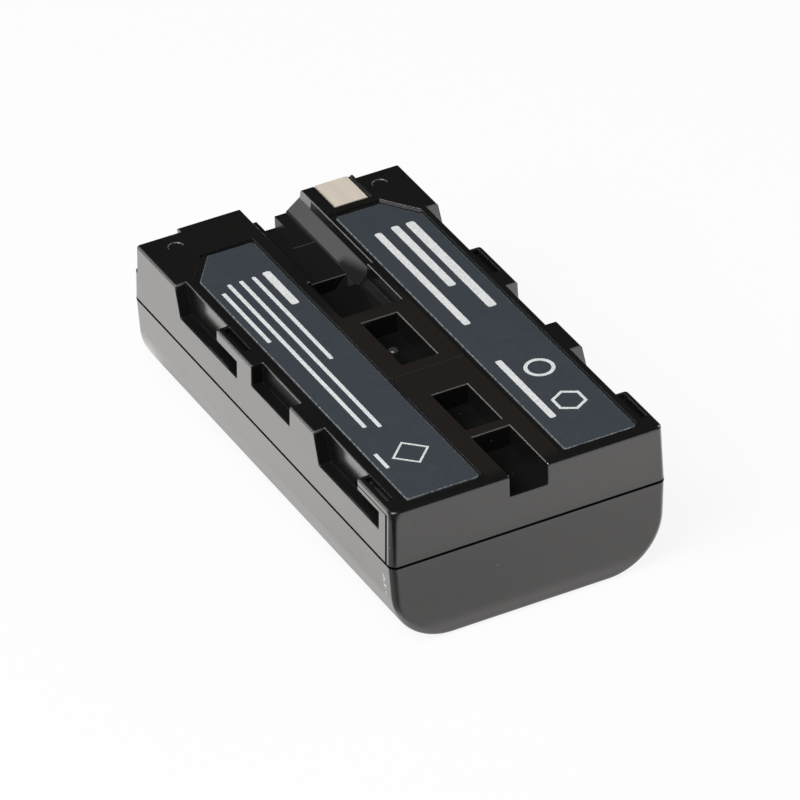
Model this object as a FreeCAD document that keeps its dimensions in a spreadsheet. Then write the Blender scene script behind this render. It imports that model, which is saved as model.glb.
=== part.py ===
import FreeCAD, Part
import os
import re
import Sketcher

# A slide-in camera battery: two round cells side by side in a welded two-part case.
# X runs across the case, Y along it from the open near end to the contact end, Z up to the mating side.
# The origin is at the middle of the flat underside.

# Driving dimensions in millimetres
SIZES = {
    # Cells, and the walls round them
    "cell_diameter": 18.2,
    "cell_length": 65.0,
    "cell_gap": 0.1,
    "cell_clearance": 0.1,
    "cell_edge": 0.6,
    "crimp_depth": 0.7,
    "crimp_width": 1.6,
    "crimp_below_end": 3.0,
    "button_diameter": 8.0,
    "button_height": 0.3,
    "side_wall": 0.85,
    "floor_wall": 1.0,
    "roof_wall": 1.15,
    "end_wall": 1.0,
    # Outside of the case
    "part_line": 12.3,
    "groove_height": 0.28,
    "groove_depth": 0.3,
    "corner_round": 1.0,
    "top_round": 0.4,
    "upper_draft": 0.3,
    "lower_draft": 0.6,
    "lower_round": 8.0,
    "bay_foot_in": 5.0,
    "bay_foot_up": 7.0,
    "bay_knee_in": 1.75,
    "bay_knee_up": 2.6,
    "relief_inner": 12.6,
    "relief_depth": 1.2,
    "relief_drop": 4.1,
    # Notches in the long sides, and the slots under their tabs
    "notch_inset": 1.9,
    "hook_start": 9.6,
    "hook_length": 11.25,
    "hook_lead": 1.6,
    "hook_drop": 4.15,
    "hook_pitch": 38.1,
    "slot_reach": 6.2,
    "tab_thickness": 1.55,
    "tab_round": 0.8,
    "mid_notch_start": 27.1,
    "mid_notch_length": 10.5,
    "mid_notch_drop": 2.95,
    "tab_pocket_inset": 1.0,
    "tab_pocket_width": 0.95,
    "tab_pocket_setback": 0.9,
    "tab_pocket_length": 5.85,
    "tab_pocket_drop": 1.0,
    # Label seats and the films in them
    "lane_half": 5.35,
    "seat_edge": 2.8,
    "seat_near": 1.6,
    "seat_far": 7.15,
    "seat_depth": 0.25,
    "seat_cut_across": 3.5,
    "seat_cut_along": 4.9,
    "seat_round": 1.0,
    "label_thickness": 0.17,
    "label_side_gap": 0.5,
    "label_near_gap": 0.35,
    "label_far_gap": 0.8,
    "label_slip": 0.25,
    "label_round": 0.5,
    # Centre lane: stepped channel at the contact end, then four pockets and a shallow band
    "channel_left": 3.67,
    "channel_right": 5.15,
    "channel_length": 19.9,
    "channel_drop": 2.67,
    "channel_lip": 1.15,
    "channel_lean": 0.18,
    "channel_foot": 2.95,
    "channel_left_foot": 0.75,
    "ledge_length": 8.2,
    "ledge_drop": 0.18,
    "ledge_split": 0.25,
    "key_half": 1.3,
    "key_length": 3.2,
    "key_drop": 1.75,
    "trough_start": 41.5,
    "trough_left": 4.1,
    "trough_right": 4.45,
    "trough_lean": 0.15,
    "trough_edge_drop": 2.05,
    "trough_drop": 2.7,
    "trough_floor_half": 3.0,
    "sump_ahead": 0.25,
    "sump_length": 2.65,
    "sump_left": 2.1,
    "sump_left_drop": 3.6,
    "sump_right": 2.9,
    "sump_right_drop": 2.75,
    "sump_drop": 4.65,
    "sump_floor_half": 1.2,
    "pocket_half": 2.5,
    "latch_start": 28.3,
    "latch_length": 10.85,
    "latch_drop": 3.0,
    "pip_diameter": 1.1,
    "pip_height": 0.12,
    "pip_ahead": 7.3,
    "core_start": 11.55,
    "core_length": 8.9,
    "core_drop": 2.9,
    "exit_half": 2.65,
    "exit_length": 9.8,
    "exit_drop": 3.05,
    "band_start": 21.5,
    "band_length": 4.85,
    "band_drop": 0.12,
    "ejector_diameter": 2.0,
    "ejector_drop": 0.06,
    "ejector_across": 14.7,
    "ejector_from_far": 3.95,
    "rim_round": 0.14,
    "notch_rim_round": 0.2,
    # Contact end
    "contact_left": 7.2,
    "contact_width": 4.65,
    "contact_length": 5.8,
    "contact_setback": 0.1,
    "contact_thickness": 0.3,
    "contact_sink": 0.05,
    "contact_gap": 0.25,
    "tail_width": 1.6,
    "tail_gap": 0.1,
    "terminal_pitch": 17.6,
    "terminal_width": 2.4,
    "terminal_height": 4.8,
    "terminal_below_top": 2.2,
    "socket_half": 2.8,
    "socket_roof": 1.4,
    "shoulder_drop": 5.1,
    "bay_side": 1.6,
    "valley_half": 1.5,
    "valley_drop": 5.7,
    # Inner pieces
    "pad_thickness": 0.15,
    "pad_width": 3.0,
    "pad_length": 20.0,
    "pad_spacing": 34.0,
    "sheet_thickness": 0.2,
    "strip_thickness": 0.15,
    "strip_width": 5.0,
    "link_width": 6.0,
    "tab_length": 1.4,
    "tab_width": 2.0,
    "fit_gap": 0.15,
    "tap_width": 2.0,
    "tap_below_roof": 0.4,
    "washer_thickness": 0.2,
    "washer_gap": 0.4,
    "board_thickness": 0.8,
    "board_room": 2.3,
    "board_bottom": 3.2,
    "board_inset": 3.0,
    "board_foot_inset": 4.0,
    "board_gap": 0.3,
    "clip_thickness": 0.3,
    "clip_length": 2.1,
    "clip_pinch": 0.35,
    "chip_side": 4.0,
    "chip_height": 0.9,
    "transistor_width": 3.0,
    "transistor_height": 5.0,
    "transistor_thickness": 1.1,
    "resistor_width": 3.2,
    "resistor_height": 1.6,
    "resistor_thickness": 0.6,
    "capacitor_width": 0.8,
    "capacitor_height": 1.6,
    "capacitor_pitch": 1.8,
    "part_spread": 5.0,
    "thermistor_diameter": 1.0,
    "thermistor_length": 3.0,
}

# Places that follow from the driving dimensions
FOLLOWS = {
    "cell_radius": "cell_diameter / 2",
    "cell_x": "(cell_diameter + cell_gap) / 2",
    "cell_z": "floor_wall + pad_thickness + cell_radius",
    "half_width": "cell_x + cell_radius + cell_clearance + side_wall",
    "top": "cell_z + cell_radius + cell_clearance + roof_wall",
    "stack": "sheet_thickness + strip_thickness",
    "case_length": "2 * end_wall + 2 * stack + cell_length + board_thickness + board_room",
    "far": "case_length / 2",
    "near": "-case_length / 2",
    "near_inside": "near + end_wall",
    "far_inside": "far - end_wall",
    "cell_near": "near_inside + stack",
    "cell_far": "cell_near + cell_length",
    "cell_y": "cell_near + cell_length / 2",
    "sheet_face": "cell_far + strip_thickness",
    "board_near": "cell_far + stack",
    "board_face": "board_near + board_thickness",
    "bay_half": "half_width - side_wall",
    "notch_wall": "half_width - notch_inset",
    "hook_floor": "top - hook_drop",
    "hook_y": "near + hook_start",
    "seat_outer": "half_width - seat_edge",
    "seat_near_y": "near + seat_near",
    "seat_far_y": "far - seat_far",
    "seat_floor": "top - seat_depth",
    "channel_floor": "top - channel_drop",
    "channel_near": "far - channel_length",
    "valley_top": "top - valley_drop",
    "tap_z": "valley_top - tap_below_roof - strip_thickness",
    "shoulder": "top - shoulder_drop",
    "socket_x": "terminal_pitch / 2",
    "socket_top": "top - socket_roof",
    "terminal_top": "top - terminal_below_top",
    "contact_face": "top - contact_sink",
    "contact_under": "contact_face - contact_thickness",
    "contact_far": "far - contact_setback",
    "contact_near": "contact_far - contact_length",
    "contact_right": "contact_left + contact_width",
    "tail_x": "contact_left + contact_width / 2",
    "board_half": "half_width - board_inset",
    "tab_z": "cell_z - cell_radius / 2",
    "bead_reach": "cell_radius + thermistor_diameter / 2 + fit_gap",
    "bead_z": "cell_z + sqrt(bead_reach^2 - cell_x^2)",
}

# How many small capacitors stand in a row
CAPACITORS = 3

doc = FreeCAD.newDocument("camera_battery")
sheet = doc.addObject("Spreadsheet::Sheet", "size")
for row, (alias, number) in enumerate(SIZES.items(), start=1):
    sheet.set(f"A{row}", alias)
    sheet.set(f"B{row}", str(number))
    sheet.setAlias(f"B{row}", alias)
doc.recompute()


def bound(text):
    """The expression for a size written in the words above, bound to the sheet's cells."""
    def word(match):
        name = match.group()
        if name in FOLLOWS:
            return "(" + bound(FOLLOWS[name]) + ")"
        if name in SIZES:
            return "size." + name
        return name
    return re.sub(r"[a-z_]+", word, str(text))


def value(text):
    return float(sheet.evalExpression(bound(text)))


# Building blocks for the sub-parts

pieces = []


def new_piece(name):
    body = doc.addObject("PartDesign::Body", name)
    body.Label = name
    pieces.append(body)
    return body


def place(body, x="0", y="0", z="0", turn=0):
    """Puts a finished piece in the case, turned about Z by a number of degrees."""
    body.Placement = FreeCAD.Placement(FreeCAD.Vector(), FreeCAD.Rotation(turn, 0, 0))
    for axis, where in zip("xyz", (x, y, z)):
        body.setExpression(f"Placement.Base.{axis}", bound(where))


def origin_plane(body, role):
    return next(feature for feature in body.Origin.OriginFeatures if feature.Role == role)


def sketch_on(body, name, role, lift="0"):
    sketch = body.newObject("Sketcher::SketchObject", name + "_sketch")
    sketch.AttachmentSupport = (origin_plane(body, role), [""])
    sketch.MapMode = "FlatFace"
    sketch.setExpression("AttachmentOffset.Base.z", bound(lift))
    return sketch


def pin(sketch, geometry, point, x, y):
    """Ties one point of a sketch to expressions for its two coordinates."""
    for kind, where in (("DistanceX", x), ("DistanceY", y)):
        rule = Sketcher.Constraint(kind, -1, 1, geometry, point, value(where))
        index = sketch.addConstraint(rule)
        sketch.setExpression(f"Constraints[{index}]", bound(where))


def draw(sketch, corners):
    """A closed outline through corners given as pairs of expressions."""
    points = [FreeCAD.Vector(value(x), value(y), 0) for x, y in corners]
    first = sketch.GeometryCount
    count = len(corners)
    for index in range(count):
        sketch.addGeometry(Part.LineSegment(points[index], points[(index + 1) % count]))
    for index in range(count):
        follower = first + (index + 1) % count
        sketch.addConstraint(Sketcher.Constraint("Coincident", first + index, 2, follower, 1))
    for index, (x, y) in enumerate(corners):
        pin(sketch, first + index, 1, x, y)


def draw_circle(sketch, x, y, radius):
    centre = FreeCAD.Vector(value(x), value(y), 0)
    circle = sketch.addGeometry(Part.Circle(centre, FreeCAD.Vector(0, 0, 1), value(radius)))
    pin(sketch, circle, 3, x, y)
    index = sketch.addConstraint(Sketcher.Constraint("Radius", circle, value(radius)))
    sketch.setExpression(f"Constraints[{index}]", bound(radius))


def rectangle(x_low, x_high, y_low, y_high):
    return [(x_low, y_low), (x_high, y_low), (x_high, y_high), (x_low, y_high)]


def mirrored(corners):
    """The same outline on the other side of the sketch's vertical axis."""
    return [(f"-({x})", y) for x, y in corners]


def outlines(body, name, role, lift, *loops):
    sketch = sketch_on(body, name, role, lift)
    for corners in loops:
        draw(sketch, corners)
    return sketch


def pad(body, name, sketch, length, backwards=False):
    feature = body.newObject("PartDesign::Pad", name)
    feature.Profile = sketch
    feature.setExpression("Length", bound(length))
    feature.Reversed = backwards
    doc.recompute()
    return feature


def pocket(body, name, sketch, depth, backwards=False):
    """Cuts an outline into a piece, and makes sure that the cut met it."""
    before = body.Shape.Volume
    feature = body.newObject("PartDesign::Pocket", name)
    feature.Profile = sketch
    feature.setExpression("Length", bound(depth))
    feature.Reversed = backwards
    doc.recompute()
    if body.Shape.Volume >= before:
        raise RuntimeError(f"{name} cuts nothing")
    return feature


def mirror_across(body, name, *features):
    feature = body.newObject("PartDesign::Mirrored", name)
    feature.Originals = list(features)
    feature.MirrorPlane = (origin_plane(body, "YZ_Plane"), [""])
    body.Tip = feature
    doc.recompute()
    return feature


def dress(body, kind, name, size, chosen):
    """A Fillet or Chamfer on the edges of the tip that a test picks."""
    base = body.Tip
    names = [f"Edge{number}" for number, edge in enumerate(base.Shape.Edges, start=1) if chosen(edge)]
    feature = body.newObject("PartDesign::" + kind, name)
    feature.Base = (base, names)
    feature.setExpression("Radius" if kind == "Fillet" else "Size", bound(size))
    doc.recompute()
    return feature


NEAR_ENOUGH = 1e-4


def lies_at(edge, z):
    return all(abs(vertex.Z - z) < NEAR_ENOUGH for vertex in edge.Vertexes)


def stands(edge):
    """True for an edge that runs up or down more than sideways."""
    box = edge.BoundBox
    return box.ZLength > max(box.XLength, box.YLength)


# Upper case

def rim_outline():
    """Plan of the lowest step of the upper case, set in a little to leave a groove round the joint."""
    across = "half_width - groove_depth"
    return rectangle(f"-({across})", across, "near + groove_depth", "far - groove_depth")


def upper_block(body):
    section = [
        ("-(half_width)", "part_line + groove_height"),
        ("half_width", "part_line + groove_height"),
        ("half_width - upper_draft", "top"),
        ("-(half_width - upper_draft)", "top"),
    ]
    view = outlines(body, "block", "XZ_Plane", "-(near)", section)
    pad(body, "block", view, "case_length", backwards=True)
    pad(body, "rim", outlines(body, "rim", "XY_Plane", "part_line", rim_outline()), "groove_height")
    dress(body, "Fillet", "corners", "corner_round", stands)
    crown = value("top")
    dress(body, "Fillet", "crown", "top_round", lambda edge: lies_at(edge, crown))
    relief = rectangle("relief_inner", "half_width + relief_depth", "far - relief_depth", "far + relief_depth")
    cut = outlines(body, "relief", "XY_Plane", "top", relief, mirrored(relief))
    pocket(body, "relief", cut, "relief_drop")


def hook_outline(start):
    """Side view of a notch with a sloping far wall, and the slot that runs on under the tab before it."""
    return [
        (f"{start} - slot_reach", "hook_floor"),
        (f"{start} + hook_length - hook_lead", "hook_floor"),
        (f"{start} + hook_length", "top"),
        (f"{start} + hook_length", "top + tab_thickness"),
        (start, "top + tab_thickness"),
        (start, "top - tab_thickness"),
        (f"{start} - slot_reach", "top - tab_thickness"),
    ]


def side_notches(body):
    mid = rectangle("near + mid_notch_start", "near + mid_notch_start + mid_notch_length",
                    "top - mid_notch_drop", "top + tab_thickness")
    view = outlines(body, "notches", "YZ_Plane", "notch_wall",
                    hook_outline("hook_y"), hook_outline("hook_y + hook_pitch"), mid)
    notches = pocket(body, "notches", view, "2 * notch_inset", backwards=True)
    mirror_across(body, "notches_left", notches)
    starts = [value("hook_y"), value("hook_y + hook_pitch")]
    inside = value("notch_wall + notch_inset / 2")

    def tab_corner(edge):
        middle = edge.CenterOfMass
        on_face = any(abs(middle.y - start) < NEAR_ENOUGH for start in starts)
        return on_face and stands(edge) and abs(middle.x) > inside
    dress(body, "Fillet", "tab_corners", "tab_round", tab_corner)
    crown = value("top")
    wall = value("notch_wall")

    def notch_rim(edge):
        straight = edge.BoundBox.XLength < NEAR_ENOUGH
        return straight and lies_at(edge, crown) and abs(abs(edge.CenterOfMass.x) - wall) < NEAR_ENOUGH
    dress(body, "Fillet", "notch_rims", "notch_rim_round", notch_rim)
    hollows = []
    for start in ("hook_y", "hook_y + hook_pitch"):
        hollow = rectangle("half_width - tab_pocket_inset - tab_pocket_width", "half_width - tab_pocket_inset",
                           f"{start} - tab_pocket_setback - tab_pocket_length", f"{start} - tab_pocket_setback")
        hollows += [hollow, mirrored(hollow)]
    pocket(body, "tab_pockets", outlines(body, "tab_pockets", "XY_Plane", "top", *hollows), "tab_pocket_drop")


def seat_outline(side_gap="0", near_gap="0", far_gap="0"):
    """Plan of the right label seat: a long rectangle with its outer far corner cut off."""
    outer = f"seat_outer - {side_gap}"
    far_edge = f"seat_far_y - {far_gap}"
    return [
        (f"lane_half + {side_gap}", f"seat_near_y + {near_gap}"),
        (outer, f"seat_near_y + {near_gap}"),
        (outer, f"{far_edge} - seat_cut_along"),
        (f"{outer} - seat_cut_across", far_edge),
        (f"lane_half + {side_gap}", far_edge),
    ]


def label_seats(body):
    plan = seat_outline()
    sketch = outlines(body, "seats", "XY_Plane", "top", plan, mirrored(plan))
    pocket(body, "seats", sketch, "seat_depth")
    floor = value("seat_floor")
    near_edge = value("seat_near_y")

    def near_corner(edge):
        middle = edge.CenterOfMass
        return stands(edge) and middle.z > floor and abs(middle.y - near_edge) < NEAR_ENOUGH
    dress(body, "Fillet", "seat_corners", "seat_round", near_corner)


def centre_channel(body):
    section = [
        ("-channel_left", "top + channel_drop"),
        ("-channel_left", "channel_floor + channel_left_foot"),
        ("-channel_left + channel_left_foot", "channel_floor"),
        ("channel_foot", "channel_floor"),
        ("channel_right - channel_lean", "top - channel_lip"),
        ("channel_right", "top"),
        ("channel_right", "top + channel_drop"),
    ]
    end_view = outlines(body, "channel", "XZ_Plane", "-(channel_near)", section)
    pocket(body, "channel", end_view, "channel_length + end_wall")
    ledge = [
        ("-channel_left + channel_left_foot", "far - key_length"),
        ("-ledge_split", "far - key_length"),
        ("-ledge_split", "far - ledge_length"),
        ("channel_foot", "far - ledge_length"),
        ("channel_foot", "far + end_wall"),
        ("-channel_left + channel_left_foot", "far + end_wall"),
    ]
    pocket(body, "ledge", outlines(body, "ledge", "XY_Plane", "channel_floor", ledge), "ledge_drop")
    key = rectangle("-key_half", "key_half", "far - key_length", "far + end_wall")
    pocket(body, "key", outlines(body, "key", "XY_Plane", "channel_floor", key), "ledge_drop + key_drop")


def lane_pockets(body):
    trough = [
        ("trough_right + trough_lean", "top + trough_edge_drop"),
        ("trough_right - trough_lean", "top - trough_edge_drop"),
        ("trough_floor_half", "top - trough_drop"),
        ("-trough_floor_half", "top - trough_drop"),
        ("-trough_left + trough_lean", "top - trough_edge_drop"),
        ("-trough_left - trough_lean", "top + trough_edge_drop"),
    ]
    end_view = outlines(body, "trough", "XZ_Plane", "-(near + trough_start)", trough)
    pocket(body, "trough", end_view, "channel_near - (near + trough_start)")
    sump = [
        ("sump_right", "channel_floor + sump_ahead"),
        ("sump_right", "top - sump_right_drop"),
        ("sump_floor_half", "top - sump_drop"),
        ("-sump_floor_half", "top - sump_drop"),
        ("-sump_left", "top - sump_left_drop"),
        ("-sump_left", "channel_floor + sump_ahead"),
    ]
    end_view = outlines(body, "sump", "XZ_Plane", "-(channel_near + sump_ahead)", sump)
    pocket(body, "sump", end_view, "sump_length")
    for name, half, start, length in (
        ("latch", "pocket_half", "near + latch_start", "latch_length"),
        ("core", "pocket_half", "near + core_start", "core_length"),
        ("exit", "exit_half", "near - end_wall", "exit_length + end_wall"),
        ("band", "lane_half", "near + band_start", "band_length"),
    ):
        plan = rectangle(f"-{half}", half, start, f"{start} + {length}")
        pocket(body, name, outlines(body, name, "XY_Plane", "top", plan), f"{name}_drop")
    marks = sketch_on(body, "ejector_marks", "XY_Plane", "top")
    for across in ("ejector_across", "-ejector_across"):
        draw_circle(marks, across, "far - ejector_from_far", "ejector_diameter / 2")
    pocket(body, "ejector_marks", marks, "ejector_drop")
    pip = sketch_on(body, "pip", "XY_Plane", "top - latch_drop")
    draw_circle(pip, "0", "near + latch_start + pip_ahead", "pip_diameter / 2")
    pad(body, "pip", pip, "pip_height")


def contact_openings(body):
    recess = rectangle("contact_left - contact_gap", "contact_right + 2 * contact_gap",
                       "contact_near - contact_gap", "far + end_wall")
    plan = outlines(body, "contact_seat", "XY_Plane", "top", recess)
    pocket(body, "contact_seat", plan, "contact_sink + contact_thickness")
    slit = rectangle("tail_x - tail_width / 2 - tail_gap", "tail_x + tail_width / 2 + tail_gap",
                     "board_face - tail_gap", "board_face + contact_thickness + tail_gap")
    pocket(body, "tail_slit", outlines(body, "tail_slit", "XY_Plane", "contact_under", slit), "socket_roof")
    slots = []
    for centre in ("socket_x", "-socket_x"):
        slots.append(rectangle(f"{centre} - terminal_width / 2", f"{centre} + terminal_width / 2",
                               "terminal_top - terminal_height", "terminal_top"))
    end_view = outlines(body, "terminal_slots", "XZ_Plane", "-(far_inside - end_wall)", *slots)
    pocket(body, "terminal_slots", end_view, "3 * end_wall")


def upper_bays(body):
    """Rooms for the cells, the strip between them, the board and the terminal clips."""
    circle = sketch_on(body, "cell_bay", "XZ_Plane", "-(near_inside)")
    draw_circle(circle, "cell_x", "cell_z", "cell_radius + cell_clearance")
    bay = pocket(body, "cell_bay", circle, "board_near - near_inside")
    mirror_across(body, "cell_bay_left", bay)
    valley = rectangle("-valley_half", "valley_half", "part_line - valley_half", "valley_top")
    view = outlines(body, "valley", "XZ_Plane", "-(near_inside)", valley)
    pocket(body, "valley", view, "board_near - near_inside")
    inner = "socket_x - socket_half"
    outer = "socket_x + socket_half"
    side = "half_width - bay_side"
    half = [("valley_top", inner), ("socket_top", inner), ("socket_top", outer),
            ("shoulder", outer), ("shoulder", side), ("part_line - bay_side", side)]
    right = [(x, z) for z, x in half]
    left = [(f"-({x})", z) for x, z in reversed(right)]
    view = outlines(body, "board_bay", "XZ_Plane", "-(cell_far)", right + left)
    pocket(body, "board_bay", view, "far_inside - cell_far")


def soften_rims(body):
    """Small rounds on the mouths of the pockets and on the edges of the centre channel."""
    crown = value("top")
    lane = value("lane_half") - NEAR_ENOUGH

    def lane_rim(edge):
        box = edge.BoundBox
        return lies_at(edge, crown) and box.XMin > -lane and box.XMax < lane
    dress(body, "Fillet", "rims", "rim_round", lane_rim)


def make_upper_case():
    body = new_piece("upper_case")
    upper_block(body)
    side_notches(body)
    label_seats(body)
    centre_channel(body)
    lane_pockets(body)
    contact_openings(body)
    upper_bays(body)
    soften_rims(body)


# Lower case

def make_lower_case():
    body = new_piece("lower_case")
    section = [
        ("-(half_width)", "part_line"),
        ("half_width", "part_line"),
        ("half_width - lower_draft", "0"),
        ("-(half_width - lower_draft)", "0"),
    ]
    view = outlines(body, "tub", "XZ_Plane", "-(near)", section)
    pad(body, "tub", view, "case_length", backwards=True)
    far_end = value("far")
    joint = value("part_line")

    def long_bottom(edge):
        return lies_at(edge, 0) and edge.BoundBox.YLength > far_end

    def end_outline(edge):
        flat = edge.BoundBox.YLength < NEAR_ENOUGH
        return flat and not lies_at(edge, joint)
    dress(body, "Fillet", "long_rounds", "lower_round", long_bottom)
    dress(body, "Fillet", "end_rounds", "corner_round", end_outline)
    right = [
        ("bay_half - bay_foot_in", "floor_wall"),
        ("bay_half - bay_knee_in", "floor_wall + bay_knee_up"),
        ("bay_half", "floor_wall + bay_foot_up"),
        ("bay_half", "part_line + floor_wall"),
    ]
    left = mirrored(reversed(right))
    view = outlines(body, "bay", "XZ_Plane", "-(near_inside)", right + left)
    pocket(body, "bay", view, "far_inside - near_inside")


# Labels

def make_label(name, plan, slip):
    body = new_piece(name)
    pad(body, "film", outlines(body, "film", "XY_Plane", "0", plan), "label_thickness")
    dress(body, "Fillet", "film_corners", "label_round", stands)
    place(body, y=slip, z="seat_floor")


def make_labels():
    plan = seat_outline("label_side_gap", "label_near_gap", "label_far_gap")
    make_label("label_left", mirrored(plan), "0")
    make_label("label_right", plan, "-label_slip")


# Contacts

def make_data_contact():
    body = new_piece("data_contact")
    plan = rectangle("contact_left", "contact_right", "contact_near", "contact_far")
    pad(body, "plate", outlines(body, "plate", "XY_Plane", "contact_under", plan), "contact_thickness")
    tail = rectangle("tail_x - tail_width / 2", "tail_x + tail_width / 2",
                     "board_face", "board_face + contact_thickness")
    sketch = outlines(body, "tail", "XY_Plane", "contact_under", tail)
    pad(body, "tail", sketch, "contact_under - terminal_top", backwards=True)


def make_receptacle(name, centre):
    """A spring clip seen from above: a foot on the board and two leaves that pinch in towards the slot."""
    body = new_piece(name)
    half = "terminal_width / 2 + fit_gap + clip_thickness"
    right = [
        (half, "0"),
        (half, "clip_length / 2"),
        (f"{half} - clip_pinch", "clip_length"),
        (f"{half} - clip_pinch - clip_thickness", "clip_length"),
        (f"{half} - clip_thickness", "clip_length / 2"),
        (f"{half} - clip_thickness", "clip_thickness"),
    ]
    left = [(f"-({x})", y) for x, y in reversed(right)]
    plan = outlines(body, "clip", "XY_Plane", "0", right + left)
    pad(body, "clip", plan, "terminal_height - tab_width")
    place(body, centre, "board_face", "terminal_top - terminal_height")


# Cells and what joins them

def make_cell(name, x, turn):
    """A sealed can, turned about its axis, with a crimped groove and a raised button at the positive end."""
    body = new_piece(name)
    end = "cell_length / 2"
    shoulder = f"{end} - button_height"
    groove = f"{end} - crimp_below_end"
    profile = [
        ("0", f"-{end}"),
        ("cell_radius - cell_edge", f"-{end}"),
        ("cell_radius", f"-{end} + cell_edge"),
        ("cell_radius", f"{groove} - crimp_width / 2"),
        ("cell_radius - crimp_depth", f"{groove} - crimp_width / 4"),
        ("cell_radius - crimp_depth", f"{groove} + crimp_width / 4"),
        ("cell_radius", f"{groove} + crimp_width / 2"),
        ("cell_radius", f"{shoulder} - cell_edge"),
        ("cell_radius - cell_edge", shoulder),
        ("button_diameter / 2", shoulder),
        ("button_diameter / 2", end),
        ("0", end),
    ]
    sketch = outlines(body, "can", "XY_Plane", "0", profile)
    can = body.newObject("PartDesign::Revolution", "can")
    can.Profile = sketch
    can.ReferenceAxis = (sketch, ["V_Axis"])
    place(body, x, "cell_y", "cell_z", turn)


def make_washer(name, x, y, turn):
    """An insulating ring on the shoulder round a positive button."""
    body = new_piece(name)
    sketch = sketch_on(body, "ring", "XZ_Plane")
    draw_circle(sketch, "0", "0", "cell_radius - cell_edge")
    draw_circle(sketch, "0", "0", "button_diameter / 2 + washer_gap")
    pad(body, "ring", sketch, "washer_thickness", backwards=True)
    place(body, x, y, "cell_z", turn)


def make_cells():
    make_cell("cell_left", "-(cell_x)", 0)
    make_cell("cell_right", "cell_x", 180)
    make_washer("washer_left", "-(cell_x)", "cell_far - button_height", 0)
    make_washer("washer_right", "cell_x", "cell_near + button_height", 180)


def make_series_link():
    """Flat strip over both near ends, with a tongue up to the centre tap."""
    body = new_piece("series_link")
    low = "cell_z - link_width / 2"
    high = "cell_z + link_width / 2"
    reach = "cell_x + button_diameter / 2"
    face = [
        (f"-({reach})", low), (reach, low), (reach, high), ("tap_width / 2", high),
        ("tap_width / 2", "tap_z"), ("-tap_width / 2", "tap_z"), ("-tap_width / 2", high), (f"-({reach})", high),
    ]
    view = outlines(body, "link", "XZ_Plane", "-(cell_near - strip_thickness)", face)
    pad(body, "link", view, "strip_thickness", backwards=True)


def make_end_strip(name, centre):
    """Flat strip welded to a cell's far end, with a tab through the board."""
    body = new_piece(name)
    face = rectangle(f"{centre} - strip_width / 2", f"{centre} + strip_width / 2",
                     "tab_z - strip_thickness", "cell_z + strip_width / 2")
    view = outlines(body, "strip", "XZ_Plane", "-(cell_far)", face)
    pad(body, "strip", view, "strip_thickness", backwards=True)
    tab = rectangle(f"{centre} - tab_width / 2", f"{centre} + tab_width / 2", "tab_z - strip_thickness", "tab_z")
    view = outlines(body, "tab", "XZ_Plane", "-(cell_far)", tab)
    pad(body, "tab", view, "strip_thickness + tab_length", backwards=True)


def make_centre_tap():
    body = new_piece("centre_tap")
    plan = rectangle("-tap_width / 2", "tap_width / 2", "cell_near - strip_thickness", "board_face")
    pad(body, "tap", outlines(body, "tap", "XY_Plane", "tap_z", plan), "strip_thickness")


# Board, what it carries, and the insulation

def board_outline():
    """End view of the board: full width low down, with two ears up to the terminal clips."""
    ear_inner = "socket_x - socket_half + board_gap"
    ear_outer = "socket_x + socket_half - board_gap"
    right = [
        ("board_half - board_foot_inset", "board_bottom"),
        ("board_half", "board_bottom + board_foot_inset"),
        ("board_half", "shoulder - board_gap"),
        (ear_outer, "shoulder - board_gap"),
        (ear_outer, "socket_top - board_gap"),
        (ear_inner, "socket_top - board_gap"),
        (ear_inner, "tap_z"),
    ]
    return right + [(f"-({x})", z) for x, z in reversed(right)]


def tab_slots():
    slots = []
    for centre in ("cell_x", "-(cell_x)"):
        slots.append(rectangle(f"{centre} - tab_width / 2 - fit_gap", f"{centre} + tab_width / 2 + fit_gap",
                               "tab_z - strip_thickness - fit_gap", "tab_z + fit_gap"))
    return slots


def make_slotted_sheet(name, y, thickness):
    body = new_piece(name)
    view = outlines(body, "sheet", "XZ_Plane", f"-({y})", board_outline(), *tab_slots())
    pad(body, "sheet", view, thickness, backwards=True)


def stand_on_board(body, name, x, z, width, height, thickness):
    """A small block that stands on the board's outer face."""
    face = rectangle(f"{x} - {width} / 2", f"{x} + {width} / 2", f"{z} - {height} / 2", f"{z} + {height} / 2")
    view = outlines(body, name, "XZ_Plane", "-(board_face)", face)
    pad(body, name, view, thickness, backwards=True)


def make_board_parts():
    chip = new_piece("controller_chip")
    stand_on_board(chip, "chip", "0", "cell_z", "chip_side", "chip_side", "chip_height")
    resistor = new_piece("sense_resistor")
    stand_on_board(resistor, "resistor", "0", "tab_z", "resistor_width", "resistor_height", "resistor_thickness")
    transistors = new_piece("power_transistors")
    for name, x in (("left", "-part_spread"), ("right", "part_spread")):
        stand_on_board(transistors, "transistor_" + name, x, "cell_z",
                       "transistor_width", "transistor_height", "transistor_thickness")
    capacitors = new_piece("chip_capacitors")
    for step in range(CAPACITORS):
        x = f"part_spread + capacitor_width + {step + 1} * capacitor_pitch"
        stand_on_board(capacitors, f"capacitor_{step}", x, "cell_z",
                       "capacitor_width", "capacitor_height", "capacitor_width")


def make_thermistor():
    """A bead in the valley over the two cells, just behind the board."""
    body = new_piece("thermistor")
    bead = sketch_on(body, "bead", "XZ_Plane", "-(sheet_face - thermistor_length)")
    draw_circle(bead, "0", "bead_z", "thermistor_diameter / 2")
    pad(body, "bead", bead, "thermistor_length", backwards=True)


def make_end_insulator():
    body = new_piece("end_insulator")
    reach = "cell_x + button_diameter / 2 + fit_gap"
    face = rectangle(f"-({reach})", reach, "cell_z - link_width", "tap_z")
    view = outlines(body, "sheet", "XZ_Plane", "-(near_inside)", face)
    pad(body, "sheet", view, "sheet_thickness", backwards=True)


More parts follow.
